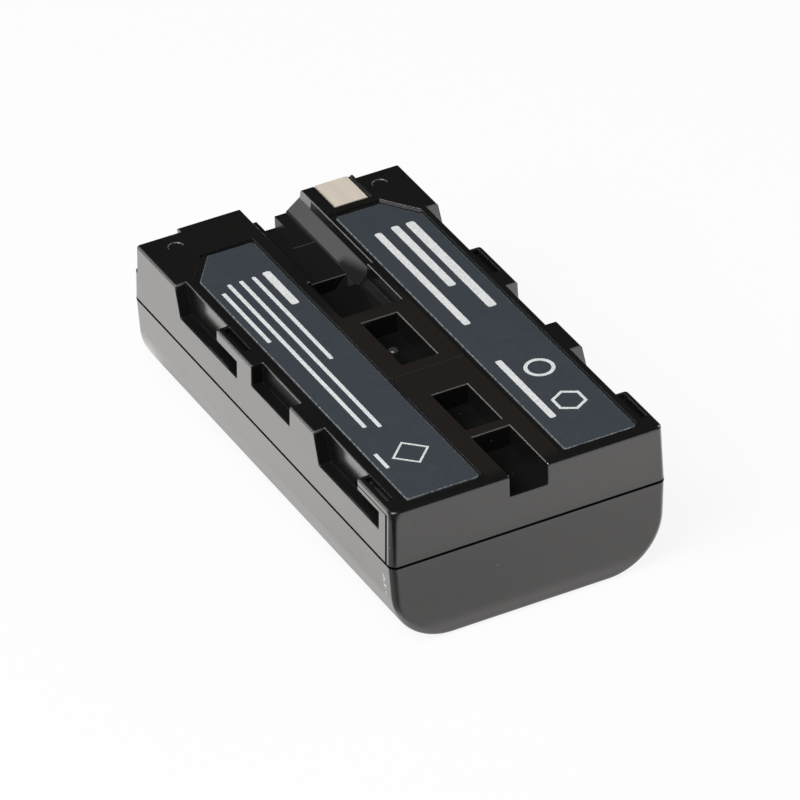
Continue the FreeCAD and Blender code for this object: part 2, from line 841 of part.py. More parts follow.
def make_adhesive_pads():
    """Four strips between the cells and the floor of the tub."""
    body = new_piece("adhesive_pads")
    plans = []
    for x in ("cell_x", "-(cell_x)"):
        for y in ("cell_y + pad_spacing / 2", "cell_y - pad_spacing / 2"):
            plans.append(rectangle(f"{x} - pad_width / 2", f"{x} + pad_width / 2",
                                   f"{y} - pad_length / 2", f"{y} + pad_length / 2"))
    pad(body, "pads", outlines(body, "pads", "XY_Plane", "floor_wall", *plans), "pad_thickness")


for build in (make_upper_case, make_lower_case, make_labels, make_data_contact, make_cells,
              make_series_link, make_centre_tap, make_board_parts, make_thermistor, make_end_insulator,
              make_adhesive_pads):
    build()
make_receptacle("positive_receptacle", "-(socket_x)")
make_receptacle("negative_receptacle", "socket_x")
make_end_strip("positive_strip", "-(cell_x)")
make_end_strip("negative_strip", "cell_x")
make_slotted_sheet("board_insulator", "sheet_face", "sheet_thickness")
make_slotted_sheet("protection_board", "board_near", "board_thickness")
doc.recompute()

for item in doc.Objects:
    if "Invalid" in item.State or "Error" in item.State:
        raise RuntimeError(f"{item.Label} is {item.State}")
for body in pieces:
    if body.Shape.isNull() or not body.Shape.isValid():
        raise RuntimeError(f"{body.Label} has no valid shape")

os.makedirs("parts", exist_ok=True)
for body in pieces:
    body.Shape.exportStep(f"parts/{body.Label}.step")
    print(body.Label, len(body.Shape.Solids), round(body.Shape.Volume, 2))
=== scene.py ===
import math

import bmesh
import bpy
from mathutils import Matrix, Vector


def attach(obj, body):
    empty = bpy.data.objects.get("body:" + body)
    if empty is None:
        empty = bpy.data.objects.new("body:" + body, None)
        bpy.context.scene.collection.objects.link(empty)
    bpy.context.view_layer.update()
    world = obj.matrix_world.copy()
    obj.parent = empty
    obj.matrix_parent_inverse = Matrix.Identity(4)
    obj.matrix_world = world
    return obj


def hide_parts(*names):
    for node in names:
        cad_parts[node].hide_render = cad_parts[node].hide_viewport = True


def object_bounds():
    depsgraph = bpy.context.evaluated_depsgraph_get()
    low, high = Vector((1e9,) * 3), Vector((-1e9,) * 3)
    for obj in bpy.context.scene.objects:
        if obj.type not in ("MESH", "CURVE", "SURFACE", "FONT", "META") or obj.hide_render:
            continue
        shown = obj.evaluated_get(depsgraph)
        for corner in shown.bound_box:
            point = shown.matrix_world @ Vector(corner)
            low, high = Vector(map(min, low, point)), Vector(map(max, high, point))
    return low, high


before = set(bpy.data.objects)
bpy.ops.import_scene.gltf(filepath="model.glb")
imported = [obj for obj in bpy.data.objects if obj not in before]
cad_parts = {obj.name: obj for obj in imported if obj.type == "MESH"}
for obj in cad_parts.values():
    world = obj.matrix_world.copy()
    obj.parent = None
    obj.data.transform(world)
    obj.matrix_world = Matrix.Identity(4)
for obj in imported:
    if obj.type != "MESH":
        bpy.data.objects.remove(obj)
cad_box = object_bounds()

MM = 0.001

# Camera, fitted to the photograph's corners: degrees, metres, and millimetres for lens and sensor
CAMERA_AZIMUTH = -26.686
CAMERA_ELEVATION = 34.021
CAMERA_ROLL = -2.137
CAMERA_DISTANCE = 1.01265
CAMERA_TARGET = Vector((0, 0, 0.0103))
LENS_MM = 361.8
SENSOR_MM = 36.0
FRAME_SHIFT = (0.00525, -0.0001)

# Range that holds most values of a noise
NOISE_CORE = (0.3, 0.7)

# How much the roughness of metal and of plain stuff varies
METAL_ROUGHNESS_SPAN = 0.12
GRAIN_ROUGHNESS_SPAN = 0.1

# Colours, as linear red, green and blue
CASE_BLACK = (0.0046, 0.0047, 0.0047, 1)
CASE_WORN = (0.0076, 0.0071, 0.0066, 1)
LANE_WARM = (0.0155, 0.012, 0.0098, 1)
# Painted highlight on the lane's rims, ledge lines and ejector rings
RIM_HIGHLIGHT_PALE = (0.11, 0.107, 0.104, 1)
CHANNEL_GREY = (0.0098, 0.0102, 0.01, 1)
SCUFF_PALE = (0.5, 0.49, 0.48, 1)
DUST_PALE = (0.3, 0.29, 0.28, 1)
# Painted shadow for fine grooves: the joint and mould lines
SHADOW_LINE_BLACK = (0.002, 0.002, 0.002, 1)
PIP_BLACK = (0.05, 0.05, 0.05, 1)
FILM_SLATE = (0.049, 0.059, 0.0705, 1)
FILM_DEEP = (0.0405, 0.05, 0.0615, 1)
# Painted highlight on the film's rolled edge
FILM_EDGE_HIGHLIGHT = (0.3, 0.31, 0.32, 1)
INK_THIN = (0.66, 0.67, 0.68, 1)
INK_WHITE = (0.82, 0.83, 0.83, 1)
FLOOR_WHITE = (0.9, 0.9, 0.9, 1)
REFLECTED_WHITE = (1, 0.972, 0.955, 1)

# Moulded finish: a coat over the black, and edges that look slightly round
CASE_IOR = 1.8
COAT_ROUGHNESS = 0.15
LANE_ROUND = 0.1 * MM
RAIL_ROUND = 0.3 * MM

# Places on the case in millimetres: across, along towards the contact end, and height
RAIL_START = (16.8, 16.9)
NEAR_EDGE = (-34.7, -34.6)
BODY_SPAN = (-35.3, 35.3)
TOP_SKIN = 20.3
LANE_SIDE_FADE = (5.1, 5.35)
LANE_FAR_FADE = (4, 12)
LANE_NEAR_FADE = (-34.8, -32.8)
RIM_HALF = 5.3
RIM_SPAN = (-34.8, 35.3)
LEDGE_LEVEL = (17.85, 17.98)
STEP_LINE = (27.12, 27.26)
STEP_WIDTH = (-0.2, 2.9)
BRINK_LINE = (18.39, 18.54)
BRINK_WIDTH = (-2.1, 2.9)
PIN_ACROSS = 14.7
PIN_ALONG = 31.45
PIN_RING = (0.94, 1.1)
PIN_FAR_HALF = 31.3
PIN_LEVEL = 20.4
BED_SPAN = (18.6, 35)
BED_HALF = 5
BED_TOP = 18
POCKET_HALF = 2.75
POCKET_TOP = 20.35
FLOOR_HALF = 4.4
FLOOR_TOP = 18.1
LIP_ACROSS = (4.9, 5.2)
LIP_HEIGHT = (19.4, 20.45)
LIP_SPAN = (15, 32.3)
TOE_FADE = (7.4, 8.6)
TOE_END_FADE = (20.6, 21.8)
TOE_ACROSS = (2.9, 5.2)
TOE_SPAN = (15, 22)
TOE_HEIGHT = (17.95, 19.5)
SEAT_ACROSS = (5.3, 16.7)
SEAT_HEIGHT = (20.37, 20.53)
NOTCH_ACROSS = (17.15, 18.75)
NOTCH_HEIGHT = (13, 20.3)
NOTCH_WALL = 17.45
HOOK_START = -25.8
HOOK_PITCH = 38.1
BAND_HEIGHT = (18.0, 18.7)
BAND_REACH = (4.8, 6.4)
CORNER_PLACE = Vector((-18.75, -35.0, 20.3))
CORNER_FADE = (0.6, 1.3)
FLANK_START = 18.8
FLANK_TOP = 20.2

# Directions and slopes of faces, as plain ratios
RIM_LEAN = -0.15
RIM_TILT = (0.2, 0.97)
TOE_TURN = 0.2018
LEAD_FACING = -0.5
TOP_FACING = 0.95

# Dullness and shine of worn and plain places
POCKET_DULL = 0.8
CORNER_DULL = 0.7
WORN_ROUGHNESS = 0.15
PLAIN_SHINE = 0.5
WORN_SHINE = 0.12
FLANK_SHINE = 0.28

# Marks on the lower case, their places in millimetres
SCUFF_SIDE = -18.6
SCUFF_ROUGHNESS = 0.7
RUB_SPAN = (-33.3, -32.7)
RUB_HEIGHT = (7.3, 10.4)
NICK_SPAN = (30.9, 31.7)
NICK_HEIGHT = (11.8, 12.25)

# Films and print
FILM_SLIP = Vector((0.18, 0.12, 0)) * MM
FILM_ROLL = 0.09 * MM
FILM_IOR = 1.45
FILM_CUT_ROUGHNESS = 0.4
SAME_PLACE = 1e-6
FLAT_ANGLE = math.radians(1)
INK_LIFT = 0.012 * MM
# Each bar: place across, start, end and width in millimetres
LEFT_BARS = (
    (-7.5, 20.5, 12.0, 1.1),
    (-9.4, 20.2, -1.4, 0.55),
    (-11.2, 20.2, -17.8, 0.55),
    (-12.9, 20.2, -17.0, 0.55),
    (-14.4, 18.7, 5.8, 0.55),
    (-14.55, -22.7, -26.2, 0.5),
)
RIGHT_BARS = (
    (13.65, 21.5, -1.1, 1.25),
    (11.5, 21.6, 5.6, 1.1),
    (8.9, 21.2, -3.2, 1.0),
    (8.2, -12.3, -26.8, 0.9),
)
# Each outline: place across and along, radius and line width in millimetres, and number of sides
LEFT_OUTLINES = ((-10.6, -24.6, 2.6, 0.28, 4),)
RIGHT_OUTLINES = ((12.0, -16.2, 2.0, 0.5, 32), (11.7, -24.4, 2.3, 0.4, 6))
# Share of a bar's width that each rounded corner takes
BAR_ROUND = 0.3

# Painted shadow lines of joint and mould, latch pip: millimetres, but for the pip's squash and the draft
# angle
JOINT_PROUD = 0.012
JOINT_CORNER = 1.0
JOINT_DEPTH = 0.25
JOINT_FOOT = 12.27
JOINT_HEIGHT = 0.34
PIP_RADIUS = 0.72
PIP_SQUASH = 0.55
PIP_PLACE = Vector((0, 0.2, 17.62))
SIDE_DRAFT = math.radians(2.142)
# Each painted shadow line of a mould mark: size, then place
MOULD_SHADOW_LINES = (
    ((0.05, 0.42, 7.0), (-19.052, -33.86, 16.16)),
    ((0.05, 8.0, 0.13), (-18.923, -29.86, 19.66)),
)

# Weaker reflections of the floor: places in millimetres, shades as shares, and the wedge's slope
FRONT_FADE = (-39, -35)
FRONT_STEP = (-52.5, -51)
FRONT_SHADES = (0.39, 0.52)
FRONT_SLANT = (-5, 25)
FRONT_SLANT_SHADES = (0.06, -0.02)
CORNER_SPREAD = (-23, -17)
CORNER_SHADE = 0.34
SIDE_STRIP = (-30, -22)
SIDE_STRIP_END = (-15, 15)
SIDE_STRIP_SHADE = 0.16
UNDER_ACROSS = (16.5, 22.5)
UNDER_ALONG = (35, 40)
UNDER_SHADE = 0.6
WEDGE_EDGE = 19
WEDGE_NEAR_END = 35.4
WEDGE_SLOPE = -1.3
WEDGE_FADE = (-1.5, 2.5)
WEDGE_SIDE = (-23, -19)
WEDGE_SHADE = 0.8
FAR_FADE = (80, 135)
FAR_SHADE = 0.92

# Floor sheet and room: lengths in metres, and strengths of light
SEEN_SHARE = 0.9
SHEET_HALF = 4.0
SHEET_DROP = 0.05 * MM
SHEET_ROUGHNESS = 0.9
ROOM_LIGHT = 0.02
ROOM_SEEN = 1.0


# Node helpers

def new_finish(name):
    """An empty material: its node tree and its one shader."""
    material = bpy.data.materials.new(name)
    material.use_nodes = True
    tree = material.node_tree
    return material, tree, tree.nodes["Principled BSDF"]


def set_socket(tree, target, value):
    """Gives a socket a plain value, or links another node's output to it."""
    if isinstance(value, bpy.types.NodeSocket):
        tree.links.new(value, target)
    else:
        target.default_value = value


def add_node(tree, kind, inputs=(), **settings):
    """A new node with its settings and the values or links of its inputs."""
    made = tree.nodes.new(kind)
    for key, value in settings.items():
        setattr(made, key, value)
    for key, value in dict(inputs).items():
        set_socket(tree, made.inputs[key], value)
    return made


def part_coordinates(tree):
    """The place of a point in the part's own frame."""
    return add_node(tree, "ShaderNodeTexCoord").outputs["Object"]


def axes(tree):
    """The three coordinates of a point of the part."""
    place = add_node(tree, "ShaderNodeSeparateXYZ", {"Vector": part_coordinates(tree)})
    return place.outputs[0], place.outputs[1], place.outputs[2]


def noise(tree, per_metre, detail, stretch=(1, 1, 1)):
    """Cloudy noise fixed to the part."""
    place = add_node(tree, "ShaderNodeMapping", {"Vector": part_coordinates(tree), "Scale": stretch})
    inputs = {"Vector": place.outputs["Vector"], "Scale": per_metre, "Detail": detail}
    return add_node(tree, "ShaderNodeTexNoise", inputs).outputs["Fac"]


def spread(tree, value, low, high, to_low, to_high):
    """Maps a range of values onto another, and clamps it there."""
    inputs = {"Value": value, "From Min": low, "From Max": high, "To Min": to_low, "To Max": to_high}
    return add_node(tree, "ShaderNodeMapRange", inputs).outputs["Result"]


def mottle(tree, per_metre, detail, low, high, core=NOISE_CORE):
    """Noise whose core is spread over a range."""
    return spread(tree, noise(tree, per_metre, detail), *core, low, high)


def fade(tree, value, zone, start, end):
    """Goes from one value to another across a zone in millimetres."""
    return spread(tree, value, zone[0] * MM, zone[1] * MM, start, end)


def math_of(tree, operation, first, second):
    """One step of arithmetic."""
    return add_node(tree, "ShaderNodeMath", {0: first, 1: second}, operation=operation).outputs[0]


def vector_math(tree, operation, first, second=None):
    """A length or a distance."""
    inputs = {0: first} if second is None else {0: first, 1: second}
    return add_node(tree, "ShaderNodeVectorMath", inputs, operation=operation).outputs["Value"]


def absolute(tree, value):
    """A value without its sign."""
    return math_of(tree, "ABSOLUTE", value, 0.0)


def times(tree, value, amount):
    """A product."""
    return math_of(tree, "MULTIPLY", value, amount)


def plus(tree, first, second):
    """A sum."""
    return math_of(tree, "ADD", first, second)


def rest_of(tree, mask):
    """1 where a mask is 0."""
    return math_of(tree, "SUBTRACT", 1.0, mask)


def over(tree, value, limit):
    """1 over a limit given in millimetres."""
    return math_of(tree, "GREATER_THAN", value, limit * MM)


def below(tree, value, limit):
    """1 below a limit given in millimetres."""
    return math_of(tree, "LESS_THAN", value, limit * MM)


def within(tree, value, zone):
    """1 inside a zone given in millimetres."""
    return both(tree, over(tree, value, zone[0]), below(tree, value, zone[1]))


def both(tree, *masks):
    """1 only where every mask is 1."""
    result = masks[0]
    for mask in masks[1:]:
        result = times(tree, result, mask)
    return result


def either(tree, *masks):
    """The greatest of several masks."""
    result = masks[0]
    for mask in masks[1:]:
        result = math_of(tree, "MAXIMUM", result, mask)
    return result


def mix_colours(tree, factor, first, second):
    """The first colour where the factor is 0, the second where it is 1."""
    made = add_node(tree, "ShaderNodeMix", {"Factor": factor}, data_type="RGBA")
    set_socket(tree, made.inputs[6], first)
    set_socket(tree, made.inputs[7], second)
    return made.outputs[2]


def specks(tree, per_metre, reach, share):
    """Scattered dots: 1 inside a dot, for that share of the cells."""
    inputs = {"Vector": part_coordinates(tree), "Scale": per_metre}
    cells = add_node(tree, "ShaderNodeTexVoronoi", inputs)
    dot = math_of(tree, "LESS_THAN", cells.outputs["Distance"], reach)
    tint = add_node(tree, "ShaderNodeSeparateColor", {"Color": cells.outputs["Color"]}).outputs[0]
    return times(tree, dot, math_of(tree, "LESS_THAN", tint, share))


def bump(tree, height, distance, strength, under=None):
    """Fine relief in the shading, on top of another normal if one is given."""
    inputs = {"Height": height, "Distance": distance, "Strength": strength}
    if under is not None:
        inputs["Normal"] = under
    return add_node(tree, "ShaderNodeBump", inputs).outputs["Normal"]


# Finishes of the case

def moulded_black(name, marks):
    """Satin black moulding: faint flow tone, smudges, fine grain and stray dust."""
    material, tree, shader = new_finish(name)
    tone = mottle(tree, per_metre=55, detail=3, low=0.0, high=1.0, core=(0.35, 0.7))
    colour = mix_colours(tree, tone, CASE_BLACK, CASE_WORN)
    dust = specks(tree, per_metre=420, reach=0.028, share=0.22)
    colour = mix_colours(tree, dust, colour, DUST_PALE)
    smudge = mottle(tree, per_metre=130, detail=4, low=0.15, high=0.27, core=(0.3, 0.75))
    across, along = axes(tree)[:2]
    radius = fade(tree, absolute(tree, across), RAIL_START, LANE_ROUND, RAIL_ROUND)
    radius = either(tree, radius, fade(tree, along, NEAR_EDGE, RAIL_ROUND, LANE_ROUND))
    rounded = add_node(tree, "ShaderNodeBevel", {"Radius": radius}, samples=8).outputs["Normal"]
    fine, broad = (noise(tree, per_metre, detail=1) for per_metre in (5200, 260))
    grain = bump(tree, fine, distance=6e-6, strength=0.6, under=rounded)
    relief = bump(tree, broad, distance=8e-6, strength=0.5, under=grain)
    shader.inputs["IOR"].default_value = CASE_IOR
    shader.inputs["Coat Weight"].default_value = 1.0
    shader.inputs["Coat IOR"].default_value = CASE_IOR
    shader.inputs["Coat Roughness"].default_value = COAT_ROUGHNESS
    look = {"Base Color": colour, "Roughness": smudge, "Normal": relief}
    look.update(marks(tree, colour, smudge))
    for socket, value in look.items():
        set_socket(tree, shader.inputs[socket], value)
    return material


def warm_lane(tree, across, along, height):
    """The top of the lane, faded at both sides and both ends."""
    sides = fade(tree, absolute(tree, across), LANE_SIDE_FADE, 1, 0)
    ends = both(tree, fade(tree, along, LANE_FAR_FADE, 1, 0), fade(tree, along, LANE_NEAR_FADE, 0, 1))
    return both(tree, sides, ends, over(tree, height, TOP_SKIN))


def face_direction(tree):
    """The way that each face of the solid points."""
    normal = add_node(tree, "ShaderNodeNewGeometry").outputs["True Normal"]
    return add_node(tree, "ShaderNodeSeparateXYZ", {"Vector": normal}).outputs


def painted_rim_highlights(tree, across, along, height, facing):
    """Painted highlight: pale lines on pocket rims, the ledge's step and brink, and the far half of each
    ejector mark.
    """
    away = absolute(tree, across)
    rim = math_of(tree, "LESS_THAN", plus(tree, facing[0], facing[1]), RIM_LEAN)
    rim = both(tree, rim, math_of(tree, "GREATER_THAN", facing[2], RIM_TILT[0]))
    rim = both(tree, rim, math_of(tree, "LESS_THAN", facing[2], RIM_TILT[1]))
    rim = both(tree, rim, over(tree, height, TOP_SKIN), below(tree, away, RIM_HALF))
    rim = both(tree, rim, within(tree, along, RIM_SPAN))
    level = within(tree, height, LEDGE_LEVEL)
    step = both(tree, within(tree, along, STEP_LINE), within(tree, across, STEP_WIDTH), level)
    brink = both(tree, within(tree, along, BRINK_LINE), within(tree, across, BRINK_WIDTH), level)
    pin_place = {
        0: math_of(tree, "SUBTRACT", away, PIN_ACROSS * MM),
        1: math_of(tree, "SUBTRACT", along, PIN_ALONG * MM),
    }
    reach = vector_math(tree, "LENGTH", add_node(tree, "ShaderNodeCombineXYZ", pin_place).outputs[0])
    ring = both(tree, within(tree, reach, PIN_RING), over(tree, along, PIN_FAR_HALF))
    ring = both(tree, ring, over(tree, height, PIN_LEVEL))
    return either(tree, rim, step, brink, ring)


def channel_bed(tree, across, along, height):
    """The floor of the centre channel."""
    sides = below(tree, absolute(tree, across), BED_HALF)
    return both(tree, within(tree, along, BED_SPAN), sides, below(tree, height, BED_TOP))


def slope_toe(tree, across, along, height):
    """The turned-aside foot of the channel's sloped wall."""
    turned = plus(tree, across, times(tree, along, TOE_TURN))
    toe = both(tree, fade(tree, turned, TOE_FADE, 1, 0), fade(tree, along, TOE_END_FADE, 1, 0))
    toe = both(tree, toe, within(tree, across, TOE_ACROSS), within(tree, along, TOE_SPAN))
    return both(tree, toe, within(tree, height, TOE_HEIGHT))


def dull_notches(tree, across, along, height, facing):
    """Inside the notches and slots, apart from the bright band of each hook wall and the right leads."""
    away = absolute(tree, across)
    notch = both(tree, within(tree, away, NOTCH_ACROSS), within(tree, height, NOTCH_HEIGHT))
    notch = both(tree, notch, within(tree, along, BODY_SPAN))
    from_first = math_of(tree, "SUBTRACT", along, HOOK_START * MM)
    from_tab = math_of(tree, "MODULO", from_first, HOOK_PITCH * MM)
    band = both(tree, below(tree, away, NOTCH_WALL), fade(tree, height, BAND_HEIGHT, 0, 1))
    band = both(tree, band, fade(tree, from_tab, BAND_REACH, 1, 0))
    lead = both(tree, math_of(tree, "LESS_THAN", facing[1], LEAD_FACING), over(tree, across, 0.0))
    return both(tree, notch, rest_of(tree, either(tree, band, lead)))


def dull_places(tree, across, along, height, facing):
    """How worn or matt each place is: pockets, floors, lip, toe, film seats, notches and a corner."""
    away = absolute(tree, across)
    inside = within(tree, along, BODY_SPAN)
    pockets = both(tree, below(tree, away, POCKET_HALF), below(tree, height, POCKET_TOP))
    floors = both(tree, below(tree, away, FLOOR_HALF), below(tree, height, FLOOR_TOP))
    dull = times(tree, both(tree, either(tree, pockets, floors), inside), POCKET_DULL)
    lip = both(tree, within(tree, across, LIP_ACROSS), within(tree, height, LIP_HEIGHT))
    lip = both(tree, lip, within(tree, along, LIP_SPAN))
    seat_wall = both(tree, within(tree, away, SEAT_ACROSS), within(tree, height, SEAT_HEIGHT), inside)
    from_corner = vector_math(tree, "DISTANCE", part_coordinates(tree), CORNER_PLACE * MM)
    corner = fade(tree, from_corner, CORNER_FADE, CORNER_DULL, 0)
    toe = slope_toe(tree, across, along, height)
    notch = dull_notches(tree, across, along, height, facing)
    return either(tree, dull, lip, toe, seat_wall, notch, corner)


def lane_and_pockets(tree, colour, smudge):
    """Warm centre lane, painted highlights on pocket rims, and duller skin where the mould's cores stood."""
    across, along, height = axes(tree)
    facing = face_direction(tree)
    colour = mix_colours(tree, warm_lane(tree, across, along, height), colour, LANE_WARM)
    colour = mix_colours(tree, channel_bed(tree, across, along, height), colour, CHANNEL_GREY)
    # Painted highlight: pale lines on rims facing the near left, the ledge's lines and ejector rings
    colour = mix_colours(tree, painted_rim_highlights(tree, across, along, height, facing), colour, RIM_HIGHLIGHT_PALE)
    worn = dull_places(tree, across, along, height, facing)
    flank = both(tree, over(tree, absolute(tree, across), FLANK_START), below(tree, height, FLANK_TOP))
    shine = spread(tree, worn, 0, POCKET_DULL, PLAIN_SHINE, WORN_SHINE)
    return {
        "Base Color": colour,
        "Roughness": plus(tree, smudge, times(tree, worn, WORN_ROUGHNESS)),
        "Coat Weight": rest_of(tree, worn),
        "Specular IOR Level": plus(tree, shine, times(tree, flank, FLANK_SHINE)),
    }


def corner_scuffs(tree, colour, smudge):
    """Chalky rubs low on the near left corner, and a nick at the far end of the joint."""
    across, along, height = axes(tree)
    rub = both(tree, within(tree, along, RUB_SPAN), within(tree, height, RUB_HEIGHT))
    nick = both(tree, within(tree, along, NICK_SPAN), within(tree, height, NICK_HEIGHT))
    chips = specks(tree, per_metre=2400, reach=0.5, share=0.6)
    mark = both(tree, either(tree, rub, nick), chips, below(tree, across, SCUFF_SIDE))
    return {
        "Base Color": mix_colours(tree, mark, colour, SCUFF_PALE),
        "Roughness": either(tree, smudge, times(tree, mark, SCUFF_ROUGHNESS)),
    }


def painted_shadow_finish(name):
    """Painted shadow: matt black for the unlit depth of a fine groove."""
    material, tree, shader = new_finish(name)
    shader.inputs["Base Color"].default_value = SHADOW_LINE_BLACK
    shader.inputs["Specular IOR Level"].default_value = 0.0
    roughness = mottle(tree, per_metre=900, detail=1, low=0.85, high=1.0)
    set_socket(tree, shader.inputs["Roughness"], roughness)
    return material


def glossy_black(name):
    """The polished stud."""
    material, tree, shader = new_finish(name)
    shader.inputs["Base Color"].default_value = PIP_BLACK
    roughness = mottle(tree, per_metre=900, detail=1, low=0.08, high=0.14)
    set_socket(tree, shader.inputs["Roughness"], roughness)
    shader.inputs["IOR"].default_value = CASE_IOR
    return material


# Finishes of the films, the metal and the pieces inside

def slate_film(name):
    """Grey-blue film with a fine tooth and stray dust."""
    material, tree, shader = new_finish(name)
    tone = mottle(tree, per_metre=2600, detail=3, low=0.0, high=1.0)
    colour = mix_colours(tree, tone, FILM_DEEP, FILM_SLATE)
    dust = specks(tree, per_metre=600, reach=0.03, share=0.15)
    colour = mix_colours(tree, dust, colour, DUST_PALE)
    roughness = mottle(tree, per_metre=400, detail=2, low=0.42, high=0.52)
    tooth = bump(tree, noise(tree, per_metre=3800, detail=2), distance=5e-6, strength=0.5)
    set_socket(tree, shader.inputs["Base Color"], colour)
    set_socket(tree, shader.inputs["Roughness"], roughness)
    set_socket(tree, shader.inputs["Normal"], tooth)
    shader.inputs["IOR"].default_value = FILM_IOR
    return material


def painted_film_edge(name):
    """Painted highlight: the film's rolled edge, paler than the film."""
    material, tree, shader = new_finish(name)
    tone = mottle(tree, per_metre=2600, detail=2, low=0.0, high=1.0)
    set_socket(tree, shader.inputs["Base Color"], mix_colours(tree, tone, FILM_SLATE, FILM_EDGE_HIGHLIGHT))
    shader.inputs["Roughness"].default_value = FILM_CUT_ROUGHNESS
    return material


def screen_ink(name):
    """White ink, thin in places."""
    material, tree, shader = new_finish(name)
    tone = mottle(tree, per_metre=3000, detail=2, low=0.0, high=1.0, core=(0.3, 0.6))
    roughness = mottle(tree, per_metre=900, detail=1, low=0.5, high=0.6)
    set_socket(tree, shader.inputs["Base Color"], mix_colours(tree, tone, INK_THIN, INK_WHITE))
    set_socket(tree, shader.inputs["Roughness"], roughness)
    return material


def plated_metal(name, dull, bright, rough, metallic=1.0, stretch=(1, 0.05, 1)):
    """Drawn sheet metal with fine lines along one way."""
    material, tree, shader = new_finish(name)
    lines = noise(tree, per_metre=4200, detail=3, stretch=stretch)
    colour = mix_colours(tree, spread(tree, lines, *NOISE_CORE, 0, 1), dull, bright)
    roughness = spread(tree, lines, *NOISE_CORE, rough, rough + METAL_ROUGHNESS_SPAN)
    set_socket(tree, shader.inputs["Base Color"], colour)
    set_socket(tree, shader.inputs["Roughness"], roughness)
    set_socket(tree, shader.inputs["Normal"], bump(tree, lines, distance=6e-6, strength=0.4))
    shader.inputs["Metallic"].default_value = metallic
    return material


def grained(name, dark, light, per_metre, rough):
    """Plain insulating, moulded or fired stuff with a fine grain."""
    material, tree, shader = new_finish(name)
    grain = noise(tree, per_metre, detail=3)
    colour = mix_colours(tree, spread(tree, grain, *NOISE_CORE, 0, 1), dark, light)
    roughness = spread(tree, grain, *NOISE_CORE, rough, rough + GRAIN_ROUGHNESS_SPAN)
    set_socket(tree, shader.inputs["Base Color"], colour)
    set_socket(tree, shader.inputs["Roughness"], roughness)
    set_socket(tree, shader.inputs["Normal"], bump(tree, grain, distance=1e-5, strength=0.4))
    return material


upper_plastic = moulded_black("upper_case_plastic", lane_and_pockets)
lower_plastic = moulded_black("lower_case_plastic", corner_scuffs)
film = slate_film("label_film")
film_edge = painted_film_edge("label_film_edge")
ink = screen_ink("label_ink")
pip_gloss = glossy_black("latch_pip_gloss")
painted_shadow_line = painted_shadow_finish("painted_shadow_line")
contact_metal = plated_metal(
    "contact_plate", (0.76, 0.68, 0.58, 1), (0.82, 0.735, 0.63, 1), rough=0.5, metallic=0.2)
spring_metal = plated_metal("spring_brass", (0.6, 0.42, 0.16, 1), (0.74, 0.54, 0.24, 1), rough=0.25)
can_steel = plated_metal("cell_can", (0.46, 0.47, 0.49, 1), (0.56, 0.57, 0.59, 1), rough=0.3)
strip_nickel = plated_metal(
    "nickel_strip", (0.56, 0.54, 0.5, 1), (0.66, 0.64, 0.6, 1), rough=0.25, stretch=(0.05, 1, 1))
ring_fibre = grained("ring_fibre", (0.68, 0.66, 0.6, 1), (0.8, 0.78, 0.72, 1), per_metre=900, rough=0.8)
sheet_fibre = grained("sheet_fibre", (0.3, 0.37, 0.29, 1), (0.38, 0.46, 0.38, 1), per_metre=700, rough=0.75)
laminate = grained("board_laminate", (0.02, 0.13, 0.055, 1), (0.035, 0.18, 0.08, 1), per_metre=500, rough=0.4)
chip_body = grained(
    "chip_body", (0.016, 0.016, 0.017, 1), (0.026, 0.026, 0.027, 1), per_metre=1800, rough=0.55)
fired_clay = grained("chip_ceramic", (0.44, 0.34, 0.24, 1), (0.54, 0.44, 0.33, 1), per_metre=1500, rough=0.6)
bead_resin = grained(
    "bead_resin", (0.04, 0.024, 0.016, 1), (0.06, 0.036, 0.024, 1), per_metre=900, rough=0.25)
foam = grained("foam_tape", (0.68, 0.68, 0.65, 1), (0.8, 0.8, 0.77, 1), per_metre=2200, rough=0.85)

NODE_FINISHES = {
    "upper_case": upper_plastic,
    "lower_case": lower_plastic,
    "label_left": film,
    "label_right": film,
    "data_contact": contact_metal,
    "positive_receptacle": spring_metal,
    "negative_receptacle": spring_metal,
    "cell_left": can_steel,
    "cell_right": can_steel,
    "washer_left": ring_fibre,
    "washer_right": ring_fibre,
    "series_link": strip_nickel,
    "positive_strip": strip_nickel,
    "negative_strip": strip_nickel,
    "centre_tap": strip_nickel,
    "protection_board": laminate,
    "controller_chip": chip_body,
    "power_transistors": chip_body,
    "sense_resistor": fired_clay,
    "chip_capacitors": fired_clay,
    "thermistor": bead_resin,
    "board_insulator": sheet_fibre,
    "end_insulator": sheet_fibre,
    "adhesive_pads": foam,
}
for node_name, finish in NODE_FINISHES.items():
    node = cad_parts[node_name]
    node.data.materials.clear()
    node.data.materials.append(finish)


# New pieces

def keep_piece(shape, name, finish):
    """Turns a bmesh into a piece that moves with the case."""
    mesh = bpy.data.meshes.new(name)
    shape.to_mesh(mesh)
    shape.free()
    mesh.materials.append(finish)
    piece = bpy.data.objects.new(name, mesh)
    bpy.context.scene.collection.objects.link(piece)
    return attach(piece, "root")


def film_with_soft_rim(name, node_name):
    """The printed film again, with its cut edge rolled so that it catches the light."""
    shape = bmesh.new()
    shape.from_mesh(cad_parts[node_name].data)
    bmesh.ops.remove_doubles(shape, verts=shape.verts, dist=SAME_PLACE)
    bmesh.ops.dissolve_limit(shape, angle_limit=FLAT_ANGLE, verts=shape.verts, edges=shape.edges)
    bmesh.ops.translate(shape, vec=FILM_SLIP, verts=shape.verts)
    top = max(vert.co.z for vert in shape.verts)
    rim = [edge for edge in shape.edges if all(top - vert.co.z < SAME_PLACE for vert in edge.verts)]
    bmesh.ops.bevel(shape, geom=rim, offset=FILM_ROLL, affect="EDGES",
                    segments=2, profile=0.5, material=-1)
    shape.normal_update()
    for face in shape.faces:
        # Painted highlight: the faces of the rolled edge take the paler edge finish
        face.material_index = 0 if face.normal.z > TOP_FACING else 1
    piece = keep_piece(shape, name, film)
    piece.data.materials.append(film_edge)
    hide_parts(node_name)
    return top


